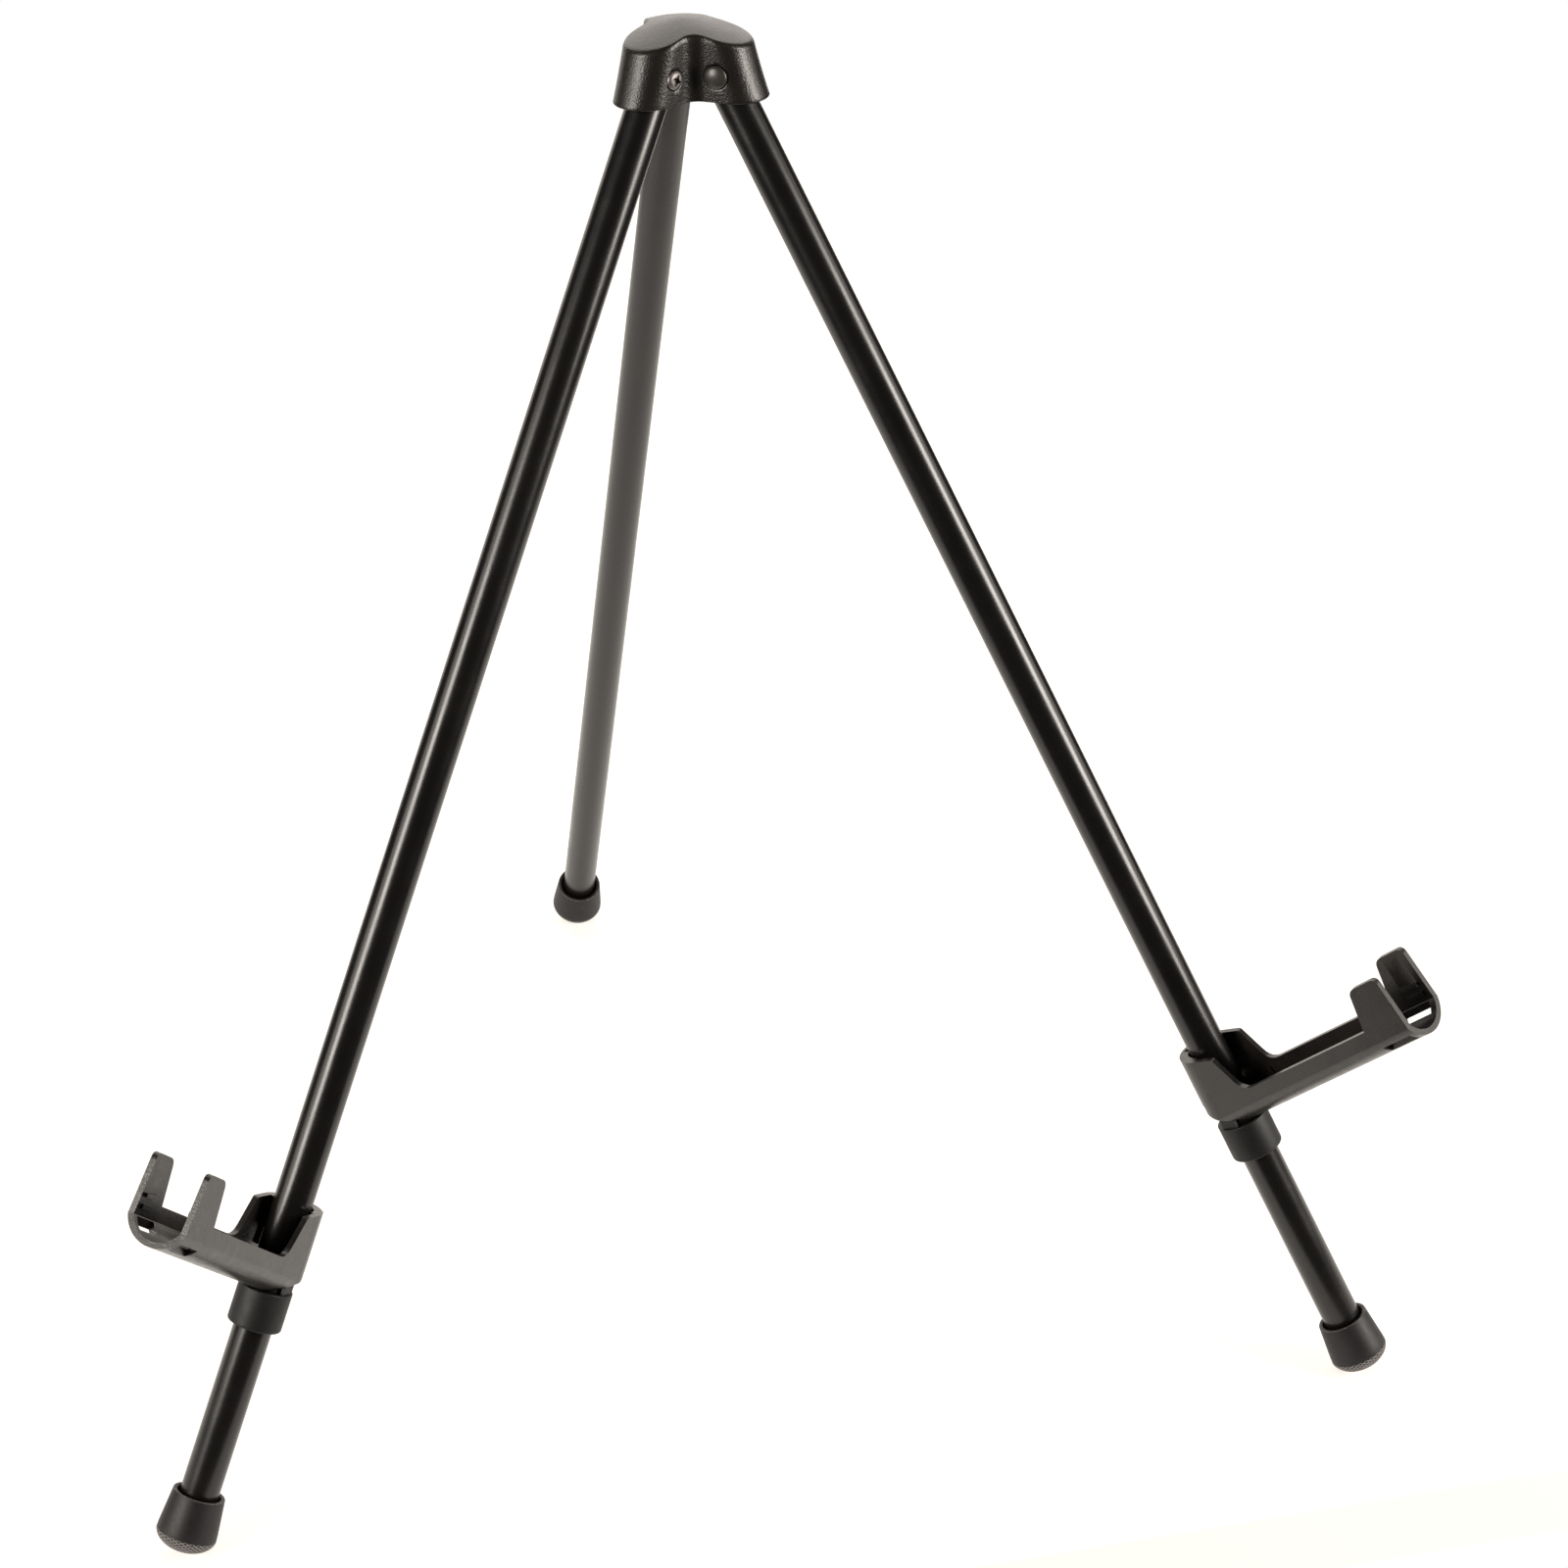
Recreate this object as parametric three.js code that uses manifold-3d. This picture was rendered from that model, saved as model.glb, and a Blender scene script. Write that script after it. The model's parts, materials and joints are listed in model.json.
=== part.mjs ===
// Folding tabletop display easel: three round steel legs hinged in a three-lobed head cap,
// with two fold-up holder arms that slide and swivel on the front legs.
// Units are millimetres, +Z is up, and the easel stands on the plane z = 0.
import * as THREE from 'three';
import * as BufferGeometryUtils from 'three/addons/utils/BufferGeometryUtils.js';
import Module from 'manifold-3d';

const wasm = await Module();
wasm.setup();

// ---------- driving dimensions ----------
const degrees = Math.PI / 180;
const GAP = 0.3; // clearance between pieces that touch on the real easel

const LEG_TILT = 28.12 * degrees; // from vertical, legs open
const FRONT_SPREAD = 56.18 * degrees; // each front leg from straight ahead
const TUBE_RADIUS = 5;
const TUBE_WALL = 1;
const TUBE_TOP = -4.5; // along the leg, from its pivot
const TIP_DROP = 370.9; // from the pivot down to the mouth of the rubber tip
const TUBE_IN_TIP = 11;
const PIVOT_RADIUS = 11.2; // from the head's centre line
const PIVOT_OFFSET = 1.54; // pivot stands outward of the tube's centre line

const TIP_MOUTH_RADIUS = 6.75;
const TIP_WIDE_RADIUS = 7.9;
const TIP_WIDE_DROP = 10.7;
const TIP_DOME = 4.83;
const TIP_BORE = 5.3;

const CAP_BELOW_PIVOT = 6.4;
const CAP_CROWN = 12.1; // above the pivot
const CAP_TIP_FALL = 4.8; // the domed top's fall from the crown to a lobe's tip
const CAP_TIP_LOW = 21.7; // lobe reach at the skirt's lip
const CAP_TIP_HIGH = 18.0; // lobe reach at the shoulder
const CAP_LOBE_HALF = 7.6;
const CAP_VALLEY_RADIUS = 5;
const CAP_WALL = 1.6;

const BARREL_RADIUS = 2.2;
const BARREL_HEAD_RADIUS = 2.9;
const SCREW_HEAD_RADIUS = 2.4;
const SCREW_SHANK_RADIUS = 1.2;

const ARM_RAISE = 15.7 * degrees; // above square to the leg, on its stop
const ARM_HALF_WIDTH = 8;
const ARM_WALL = 1.5;
const ARM_BOTTOM_RADIUS = 8.6;
const ARM_BOTTOM_DROP = 7; // trunnion axis to the underside
const ARM_END = 72.8;
const WALL_TOP = 2.6;
const PRONG_TOP = 14;
const PRONG_BASE = 60;
const PRONG_LEAN = 4.4;
const EAR_HEIGHT = 16.1; // along the leg, above the trunnions
const EAR_FRONT = 6.3; // outward of the tube's centre line
const HEEL_FRONT = 13; // where the heel's slope meets the rim
const CORE_LENGTH = 10; // of the two holes in the underside, below the prongs
const COLLAR_TOP = -5.9;
const COLLAR_BOTTOM = -16.3;
const COLLAR_RADIUS = 7;
const BUSH_RADIUS = 5.7;
const TRUNNION_RADIUS = 1.5;

// each leg's direction, and the height and turn of the holder arm that it carries
const LEGS = [
  { name: 'left', azimuth: -Math.PI / 2 - FRONT_SPREAD, arm: { above: 61.9, swivel: 18.5 * degrees } },
  { name: 'right', azimuth: -Math.PI / 2 + FRONT_SPREAD, arm: { above: 71.2, swivel: -16.5 * degrees } },
  { name: 'rear', azimuth: Math.PI / 2 },
];

const steel = { color: 0x14110f, roughness: 0.35, metalness: 0.6 };
const enamel = { color: 0x1a1714, roughness: 0.28, metalness: 0.4 };
const bright = { color: 0x8b8886, roughness: 0.4, metalness: 1 };
const barrelGrey = { color: 0x4c4a46, roughness: 0.4, metalness: 0.8 };
const moulded = { color: 0x4a4744, roughness: 0.6, metalness: 0 };
const nylon = { color: 0x1a1818, roughness: 0.5, metalness: 0 };
const rubber = { color: 0x2a2729, roughness: 0.75, metalness: 0 };

// ---------- solids ----------
function toSolid(geometry) {
  const bare = geometry.index ? geometry.toNonIndexed() : geometry.clone();
  bare.deleteAttribute('normal');
  bare.deleteAttribute('uv');
  const merged = BufferGeometryUtils.mergeVertices(bare, 1e-4);
  return new wasm.Manifold(new wasm.Mesh({
    numProp: 3,
    vertProperties: new Float32Array(merged.attributes.position.array),
    triVerts: new Uint32Array(merged.index.array),
  }));
}

function toGeometry(solid) {
  const mesh = solid.getMesh();
  const geometry = new THREE.BufferGeometry();
  geometry.setAttribute('position', new THREE.BufferAttribute(mesh.vertProperties, 3));
  geometry.setIndex(new THREE.BufferAttribute(mesh.triVerts, 1));
  geometry.computeVertexNormals();
  return geometry;
}

function join(...geometries) {
  return geometries.map(toSolid).reduce((whole, piece) => whole.add(piece));
}

function cut(solid, ...geometries) {
  return geometries.map(toSolid).reduce((rest, tool) => rest.subtract(tool), solid);
}

// Turns [radius, height] points round the Z axis.
function turned(profile, segments = 24) {
  const points = profile.map(([radius, height]) => new THREE.Vector2(radius, height));
  return new THREE.LatheGeometry(points, segments).rotateX(Math.PI / 2);
}

function ring(inner, outer, low, high, segments = 24) {
  return turned([[inner, low], [outer, low], [outer, high], [inner, high], [inner, low]], segments);
}

// A round bar along Z.
function bar(radius, low, high, segments = 24) {
  return turned([[0, low], [radius, low], [radius, high], [0, high]], segments);
}

function block(x0, x1, y0, y1, z0, z1) {
  const size = [x1 - x0, y1 - y0, z1 - z0];
  return new THREE.BoxGeometry(...size).translate((x0 + x1) / 2, (y0 + y1) / 2, (z0 + z1) / 2);
}

// Extrudes an outline drawn in X and Z across Y.
function plate(shape, halfWidth, curveSegments = 8) {
  const settings = { depth: 2 * halfWidth, bevelEnabled: false, curveSegments };
  return new THREE.ExtrudeGeometry(shape, settings).rotateX(Math.PI / 2).translate(0, halfWidth, 0);
}

// A closed outline whose listed corners, [x, y, radius], are rounded.
function roundedOutline(corners) {
  const shape = new THREE.Shape();
  const count = corners.length;
  corners.forEach(([x, y, radius = 0], i) => {
    const corner = new THREE.Vector2(x, y);
    const before = new THREE.Vector2(...corners[(i + count - 1) % count]);
    const after = new THREE.Vector2(...corners[(i + 1) % count]);
    const enter = corner.clone().add(before.sub(corner).setLength(radius));
    const leave = corner.clone().add(after.sub(corner).setLength(radius));
    if (i === 0) shape.moveTo(enter.x, enter.y);
    else shape.lineTo(enter.x, enter.y);
    if (radius > 0) shape.quadraticCurveTo(x, y, leave.x, leave.y);
  });
  shape.closePath();
  return shape;
}

// Stacks rings of equal point count, and closes both ends with fans.
function loft(rings) {
  const count = rings[0].length;
  const points = rings.flat();
  const faces = [];
  for (let r = 0; r + 1 < rings.length; r += 1) {
    for (let i = 0; i < count; i += 1) {
      const a = r * count + i;
      const b = r * count + ((i + 1) % count);
      faces.push(a, b, b + count, a, b + count, a + count);
    }
  }
  const low = points.push(new THREE.Vector3(0, 0, rings[0][0].z)) - 1;
  const high = points.push(new THREE.Vector3(0, 0, rings[rings.length - 1][0].z)) - 1;
  const last = (rings.length - 1) * count;
  for (let i = 0; i < count; i += 1) {
    const next = (i + 1) % count;
    faces.push(low, next, i);
    faces.push(high, last + i, last + next);
  }
  const geometry = new THREE.BufferGeometry().setFromPoints(points);
  geometry.setIndex(faces);
  return geometry;
}

function part(name, shape, look) {
  const geometry = shape.isBufferGeometry ? shape : toGeometry(shape);
  const mesh = new THREE.Mesh(geometry, new THREE.MeshStandardMaterial(look));
  mesh.name = name;
  return mesh;
}

// ---------- head cap ----------
// The cap's plan at one height: three round-ended lobes joined by hollow valleys.
function capPlan(tipReach, half, valleyRadius) {
  const lobes = LEGS.map((leg) => leg.azimuth).sort((a, b) => a - b);
  const points = [];
  lobes.forEach((azimuth, i) => {
    const next = lobes[(i + 1) % lobes.length] + (i + 1 === lobes.length ? 2 * Math.PI : 0);
    const halfAngle = (next - azimuth) / 2;
    const lobeCentre = new THREE.Vector2(Math.cos(azimuth), Math.sin(azimuth)).multiplyScalar(tipReach - half);
    const middle = azimuth + halfAngle;
    const reach = (half + valleyRadius) / Math.sin(halfAngle);
    const valleyCentre = new THREE.Vector2(Math.cos(middle), Math.sin(middle)).multiplyScalar(reach);
    const lobe = new THREE.ArcCurve(lobeCentre.x, lobeCentre.y, half, azimuth - Math.PI / 2, azimuth + Math.PI / 2);
    const valley = new THREE.ArcCurve(
      valleyCentre.x, valleyCentre.y, valleyRadius, azimuth - Math.PI / 2, next + Math.PI / 2 - 2 * Math.PI, true,
    );
    points.push(...lobe.getPoints(8), ...valley.getPoints(4));
  });
  return points;
}

// A point's height on the domed top, less a drop.
function belowTop(drop) {
  return (point) => CAP_CROWN - CAP_TIP_FALL * (point.length() / CAP_TIP_HIGH) ** 1.5 - drop;
}

// Levels are [height, lobe reach, inset of the whole plan]; a height is a number or a function.
function capBody(levels, half, valleyRadius) {
  return loft(levels.map(([height, reach, inset]) => capPlan(reach, half, valleyRadius).map((point) => {
    const placed = point.multiplyScalar(1 - inset);
    return new THREE.Vector3(placed.x, placed.y, typeof height === 'number' ? height : height(placed));
  })));
}

function headCap() {
  const outer = capBody([
    [-CAP_BELOW_PIVOT, CAP_TIP_LOW - 0.3, 0],
    [-CAP_BELOW_PIVOT + 0.6, CAP_TIP_LOW, 0],
    [belowTop(1.4), CAP_TIP_HIGH + 0.3, 0],
    [belowTop(0.5), CAP_TIP_HIGH - 0.1, 0.01],
    [belowTop(0.05), CAP_TIP_HIGH - 0.5, 0.05],
    [belowTop(0), CAP_TIP_HIGH - 1, 0.1],
    [belowTop(0), CAP_TIP_HIGH - 1, 0.4],
    [belowTop(0), CAP_TIP_HIGH - 1, 0.75],
  ], CAP_LOBE_HALF, CAP_VALLEY_RADIUS);
  const inner = capBody([
    [-CAP_BELOW_PIVOT - 1, CAP_TIP_LOW - CAP_WALL + 0.1, 0],
    [belowTop(CAP_WALL + 0.9), CAP_TIP_HIGH - CAP_WALL, 0],
    [belowTop(CAP_WALL + 0.2), CAP_TIP_HIGH - CAP_WALL - 1, 0.1],
    [belowTop(CAP_WALL + 0.2), CAP_TIP_HIGH - CAP_WALL - 1, 0.6],
  ], CAP_LOBE_HALF - CAP_WALL, CAP_VALLEY_RADIUS + CAP_WALL);
  const holes = LEGS.flatMap((leg) => {
    const barrelHole = bar(BARREL_RADIUS + GAP, -CAP_LOBE_HALF - 2, 0);
    const screwHole = bar(SCREW_HEAD_RADIUS + 0.4, 0, CAP_LOBE_HALF + 2);
    return [barrelHole, screwHole].map((hole) => hole
      .rotateX(-Math.PI / 2)
      .translate(PIVOT_RADIUS, 0, 0)
      .rotateZ(leg.azimuth));
  });
  return cut(toSolid(outer).subtract(toSolid(inner)), ...holes);
}

// The domed barrel of a binding post, along Z with its head below.
function pivotBarrel() {
  const seat = -CAP_LOBE_HALF - 0.15;
  const end = CAP_LOBE_HALF - CAP_WALL + 0.9;
  const body = turned([
    [0, seat - 1.25], [1.2, seat - 1.15], [2.2, seat - 0.8], [BARREL_HEAD_RADIUS, seat - 0.2],
    [BARREL_HEAD_RADIUS, seat], [BARREL_RADIUS, seat], [BARREL_RADIUS, end], [0, end],
  ], 16);
  return cut(toSolid(body), bar(SCREW_SHANK_RADIUS + GAP, -2.5, end + 1, 12));
}

// The screw that closes the binding post, with a cross recess in its head.
function pivotScrew() {
  const seat = CAP_LOBE_HALF - CAP_WALL + 1.2;
  const body = turned([
    [0, -2], [SCREW_SHANK_RADIUS, -1.6], [SCREW_SHANK_RADIUS, seat], [SCREW_HEAD_RADIUS, seat],
    [SCREW_HEAD_RADIUS, seat + 0.6], [1.7, seat + 1.15], [0, seat + 1.25],
  ], 16);
  const slot = block(-1.3, 1.3, -0.3, 0.3, seat + 0.5, seat + 2);
  return cut(toSolid(body), slot, slot.clone().rotateZ(Math.PI / 2));
}

// ---------- legs ----------
function legTube() {
  return ring(TUBE_RADIUS - TUBE_WALL, TUBE_RADIUS, -TIP_DROP - TUBE_IN_TIP, TUBE_TOP, 32);
}

// Plugs the tube's top end and carries the pivot eye.
function legKnuckle() {
  const eye = plate(new THREE.Shape().absarc(0, 0, 4.3, 0, 2 * Math.PI), 4.6, 12);
  const neck = block(-PIVOT_OFFSET - 4, 2.2, -4, 4, TUBE_TOP + GAP, 0);
  const spigot = bar(TUBE_RADIUS - TUBE_WALL - GAP, -18, -2, 16).translate(-PIVOT_OFFSET, 0, 0);
  const bore = bar(BARREL_RADIUS + GAP, -10, 10, 16).rotateX(Math.PI / 2);
  return cut(join(eye, neck, spigot), bore);
}

function tipWasher() {
  const top = -TUBE_IN_TIP - GAP;
  return ring(1.5, TUBE_RADIUS - 0.1, top - 0.8, top, 16);
}

// The rubber tip, measured down from its mouth.
function legTip() {
  const dome = [];
  for (let i = 1; i <= 6; i += 1) {
    const angle = (i / 6) * (Math.PI / 2);
    dome.push([TIP_WIDE_RADIUS * Math.cos(angle), -TIP_WIDE_DROP - TIP_DOME * Math.sin(angle)]);
  }
  dome[dome.length - 1][0] = 0;
  const floor = -TUBE_IN_TIP - 1.4;
  return turned([
    ...dome.reverse(), [TIP_WIDE_RADIUS, -TIP_WIDE_DROP], [TIP_MOUTH_RADIUS, -0.4],
    [TIP_MOUTH_RADIUS - 0.35, 0], [5.95, -0.1], [5.7, -1.2], [TIP_BORE, -2.6], [TIP_BORE, floor], [0, floor],
  ]);
}

// ---------- holder arm, about its trunnion axis ----------
// The channel's section in Y and Z, walls standing up from a rounded bottom.
function channelSection(inset) {
  const half = ARM_HALF_WIDTH - inset;
  const radius = ARM_BOTTOM_RADIUS - inset;
  const centre = ARM_BOTTOM_RADIUS - ARM_BOTTOM_DROP;
  const side = Math.asin(half / radius);
  const shape = new THREE.Shape();
  shape.moveTo(half, 40);
  shape.lineTo(-half, 40);
  shape.absarc(0, centre, radius, -Math.PI / 2 - side, -Math.PI / 2 + side);
  return shape;
}

function alongArm(shape, from, to) {
  const settings = { depth: to - from, bevelEnabled: false, curveSegments: 14 };
  const geometry = new THREE.ExtrudeGeometry(shape, settings);
  return geometry.rotateX(Math.PI / 2).rotateZ(Math.PI / 2).translate(from, 0, 0);
}

// A point given outward of the tube and up along the leg, in the raised arm's own X and Z.
function fromLeg(outward, up) {
  const cos = Math.cos(ARM_RAISE);
  const sin = Math.sin(ARM_RAISE);
  return [outward * cos + up * sin, up * cos - outward * sin];
}

// The arm's side view: prong, ledge, heel and the heel's slanted underside.
function armOutline() {
  return roundedOutline([
    [ARM_END, -ARM_BOTTOM_DROP - 1],
    [ARM_END, -1],
    [ARM_END + 1.1, PRONG_TOP, 2],
    [PRONG_BASE + PRONG_LEAN, PRONG_TOP, 2],
    [PRONG_BASE, WALL_TOP],
    [HEEL_FRONT, WALL_TOP, 3.4],
    [...fromLeg(EAR_FRONT, EAR_HEIGHT), 0.6],
    fromLeg(-ARM_HALF_WIDTH - 2, EAR_HEIGHT),
    fromLeg(-ARM_HALF_WIDTH - 2, 1.2),
    [6, -ARM_BOTTOM_DROP - 0.2],
    [8, -ARM_BOTTOM_DROP - 1],
  ]);
}

// The heel seen along the leg: a half-round back that runs into the two walls.
function heelPlan(radius, length) {
  const shape = new THREE.Shape();
  shape.absarc(0, 0, radius, Math.PI / 2, (3 * Math.PI) / 2);
  shape.lineTo(length, -radius);
  shape.lineTo(length, radius);
  return shape;
}

function alongLeg(shape, low, high) {
  const settings = { depth: high - low, bevelEnabled: false, curveSegments: 16 };
  return new THREE.ExtrudeGeometry(shape, settings).translate(0, 0, low).rotateY(ARM_RAISE);
}

function holderArm() {
  const innerHalf = ARM_HALF_WIDTH - ARM_WALL;
  const outside = toSolid(plate(armOutline(), ARM_HALF_WIDTH + 1, 6))
    .intersect(toSolid(alongArm(channelSection(0), -20, ARM_END + 5)))
    .intersect(toSolid(alongLeg(heelPlan(ARM_HALF_WIDTH, 100), -60, 60)));
  const trough = toSolid(alongArm(channelSection(ARM_WALL), -20, ARM_END + 10))
    .intersect(toSolid(alongLeg(new THREE.Shape().setFromPoints([
      new THREE.Vector2(0, -10), new THREE.Vector2(100, -10), new THREE.Vector2(100, 10), new THREE.Vector2(0, 10),
    ]), -60, 60)));
  const tubeWay = bar(TUBE_RADIUS + 0.6, -40, 40, 32).rotateY(ARM_RAISE);
  const foldWay = block(-20, 0, -TUBE_RADIUS - 0.6, TUBE_RADIUS + 0.6, -20, COLLAR_RADIUS + GAP);
  const cheekWay = block(-20, 3, -innerHalf, innerHalf, -20, 3);
  const sockets = bar(TRUNNION_RADIUS + GAP, -innerHalf - 0.9, innerHalf + 0.9, 16).rotateX(Math.PI / 2);
  const backSlot = block(-7, -5, -1.6, 1.6, EAR_HEIGHT - 2, EAR_HEIGHT + 2).rotateY(ARM_RAISE);
  const coreHoles = [-1, 1].map((side) => (
    block(PRONG_BASE + 0.8, PRONG_BASE + 0.8 + CORE_LENGTH, -1.35, 1.35, -10, -1.5).translate(0, side * 5.55, 0)
  ));
  const shell = cut(outside.subtract(trough), tubeWay, foldWay, cheekWay, sockets, backSlot, ...coreHoles);
  const ledges = [-1, 1].map((side) => {
    const lip = roundedOutline([[65.4, 3.2], [71.4, 3.2], [71.4, 4.2], [65.4, 4.6]]);
    return toSolid(plate(lip, 0.6).translate(0, side * (innerHalf - 0.3), 0));
  });
  return ledges.reduce((whole, ledge) => whole.add(ledge), shell);
}

// The collar rides on the bush, and its two cheeks carry the arm's trunnions.
function sliderCollar() {
  const bore = BUSH_RADIUS + GAP / 2;
  const sleeve = turned([
    [TUBE_RADIUS + 0.35, COLLAR_BOTTOM], [COLLAR_RADIUS - 0.7, COLLAR_BOTTOM],
    [COLLAR_RADIUS, COLLAR_BOTTOM + 0.7], [COLLAR_RADIUS, COLLAR_TOP - 0.25],
    [COLLAR_RADIUS - 0.25, COLLAR_TOP], [bore, COLLAR_TOP], [bore, COLLAR_BOTTOM + 1],
    [TUBE_RADIUS + 0.35, COLLAR_BOTTOM + 1], [TUBE_RADIUS + 0.35, COLLAR_BOTTOM],
  ], 32);
  const cheekShape = new THREE.Shape();
  cheekShape.moveTo(-2.3, COLLAR_TOP - 1);
  cheekShape.lineTo(2.3, COLLAR_TOP - 1);
  cheekShape.lineTo(2.3, 0);
  cheekShape.absarc(0, 0, 2.3, 0, Math.PI);
  const cheeks = [-1, 1].map((side) => plate(cheekShape, 0.4, 6).translate(0, side * 5.8, 0));
  const stubs = [-1, 1].map((side) => bar(TRUNNION_RADIUS, -0.6, 0.6, 16)
    .rotateX(Math.PI / 2)
    .translate(0, side * 6.6, 0));
  return cut(join(sleeve, ...cheeks, ...stubs), bar(TUBE_RADIUS + 0.35, -30, 10, 32));
}

function frictionBush() {
  return ring(TUBE_RADIUS + 0.2, BUSH_RADIUS, COLLAR_BOTTOM + 1 + GAP, COLLAR_TOP - 1 - GAP);
}

// ---------- assembly ----------
function holderAssembly(leg) {
  const slider = new THREE.Group();
  slider.position.set(-PIVOT_OFFSET, 0, leg.arm.above - TIP_DROP);
  slider.rotation.z = leg.arm.swivel;
  const arm = part(`${leg.name}_holder_arm`, holderArm(), moulded);
  arm.rotation.y = -ARM_RAISE;
  slider.add(
    part(`${leg.name}_friction_bush`, frictionBush(), nylon),
    part(`${leg.name}_slider_collar`, sliderCollar(), nylon),
    arm,
  );
  return slider;
}

function legAssembly(leg) {
  const group = new THREE.Group();
  const tube = part(`${leg.name}_leg_tube`, legTube(), steel);
  tube.position.x = -PIVOT_OFFSET;
  const knuckle = part(`${leg.name}_leg_knuckle`, legKnuckle(), nylon);
  const tip = part(`${leg.name}_rubber_tip`, legTip(), rubber);
  const washer = part(`${leg.name}_tip_washer`, tipWasher(), bright);
  [tip, washer].forEach((piece) => piece.position.set(-PIVOT_OFFSET, 0, -TIP_DROP));
  group.add(tube, knuckle, tip, washer);
  if (leg.arm) group.add(holderAssembly(leg));
  group.rotation.y = -LEG_TILT;
  return group;
}

function bindingPost(leg) {
  const post = new THREE.Group();
  post.add(
    part(`${leg.name}_pivot_barrel`, pivotBarrel(), barrelGrey),
    part(`${leg.name}_pivot_screw`, pivotScrew(), bright),
  );
  post.rotation.x = -Math.PI / 2;
  return post;
}

// The pivots' height above the floor when the legs are open.
function pivotHeight() {
  const sin = Math.sin(LEG_TILT);
  const cos = Math.cos(LEG_TILT);
  const foot = TIP_WIDE_DROP * cos + Math.hypot(TIP_DOME * cos, TIP_WIDE_RADIUS * sin);
  return TIP_DROP * cos + PIVOT_OFFSET * sin + foot;
}

function easel() {
  const head = new THREE.Group();
  head.add(part('head_cap', headCap(), enamel));
  LEGS.forEach((leg) => {
    const sector = new THREE.Group();
    sector.rotation.z = leg.azimuth;
    const hinge = new THREE.Group();
    hinge.position.x = PIVOT_RADIUS;
    hinge.add(bindingPost(leg), legAssembly(leg));
    sector.add(hinge);
    head.add(sector);
  });
  head.position.z = pivotHeight();
  // the origin is the middle of the easel's footprint
  head.updateMatrixWorld(true);
  const middle = new THREE.Box3().setFromObject(head, true).getCenter(new THREE.Vector3());
  head.position.x = -middle.x;
  head.position.y = -middle.y;
  const whole = new THREE.Group();
  whole.add(head);
  return whole;
}

export default easel();
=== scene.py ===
"""Looks of a folding tabletop easel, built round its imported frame.

Three enamelled steel legs hinge in a three-lobed head cap. Each front leg carries a slider
collar, and a moulded holder arm pivots on that collar. Sizes held by the classes are in
millimetres, in each piece's own frame; finished meshes are in metres, in the shared frame.
"""

import json
import logging
import math
from dataclasses import dataclass
from enum import Enum
from typing import Callable, Sequence

import bmesh
import bpy
import numpy as np
from mathutils import Matrix, Vector


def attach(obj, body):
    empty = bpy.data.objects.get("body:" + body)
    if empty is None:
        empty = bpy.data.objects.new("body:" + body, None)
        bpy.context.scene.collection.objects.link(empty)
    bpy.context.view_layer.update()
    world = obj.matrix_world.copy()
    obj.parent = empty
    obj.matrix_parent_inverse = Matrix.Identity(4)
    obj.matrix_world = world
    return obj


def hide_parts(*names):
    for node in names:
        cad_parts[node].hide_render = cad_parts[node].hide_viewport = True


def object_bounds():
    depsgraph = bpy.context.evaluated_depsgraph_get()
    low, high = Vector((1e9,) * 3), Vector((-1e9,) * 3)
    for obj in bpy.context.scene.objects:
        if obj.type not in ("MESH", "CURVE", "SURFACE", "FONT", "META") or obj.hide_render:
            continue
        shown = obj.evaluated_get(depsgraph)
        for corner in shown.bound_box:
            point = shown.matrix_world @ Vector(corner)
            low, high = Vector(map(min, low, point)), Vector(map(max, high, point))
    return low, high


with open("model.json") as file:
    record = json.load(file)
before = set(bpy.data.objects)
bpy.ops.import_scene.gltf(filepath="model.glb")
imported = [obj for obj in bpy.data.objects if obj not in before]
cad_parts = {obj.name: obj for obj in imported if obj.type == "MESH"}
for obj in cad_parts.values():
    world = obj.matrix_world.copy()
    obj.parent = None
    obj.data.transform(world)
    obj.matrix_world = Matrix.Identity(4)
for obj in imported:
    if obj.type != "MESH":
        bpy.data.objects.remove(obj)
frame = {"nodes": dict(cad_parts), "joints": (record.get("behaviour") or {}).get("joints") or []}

CAD_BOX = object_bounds()
MM = 0.001
WELD = 1e-4  # millimetres between points that become one
AXIS_GAP = 2e-4  # millimetres from the axis to the innermost ring of a turned piece
UP = Vector((0, 0, 1))
WARM_WHITE = "fff8f0"
JOINTS = {joint["name"]: joint for joint in frame["joints"]}
LOG = logging.getLogger("easel")

Profile = Sequence[tuple[float, float]]
Height = Callable[[np.ndarray], np.ndarray]


class Side(Enum):
    """The three legs, named as a user facing the easel sees them."""

    LEFT = "left"
    RIGHT = "right"
    REAR = "rear"


FRONT = (Side.LEFT, Side.RIGHT)


# ---------- frames and meshes ----------
@dataclass(frozen=True)
class Axes:
    """A piece's own frame: an origin in metres and three unit directions in the shared frame."""

    origin: Vector
    x: Vector
    y: Vector
    z: Vector

    def matrix(self) -> Matrix:
        """Gives the matrix from the piece's millimetres to the shared frame's metres."""
        turn = Matrix((self.x, self.y, self.z)).transposed().to_4x4()
        return Matrix.Translation(self.origin) @ turn @ Matrix.Scale(MM, 4)

    def shifted(self, x: float = 0.0, y: float = 0.0, z: float = 0.0) -> "Axes":
        """Gives the same directions at another origin.

        Args:
            x: millimetres along this frame's x.
            y: millimetres along this frame's y.
            z: millimetres along this frame's z.

        Returns:
            The shifted frame.
        """
        step = (self.x * x + self.y * y + self.z * z) * MM
        return Axes(self.origin + step, self.x, self.y, self.z)


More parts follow.
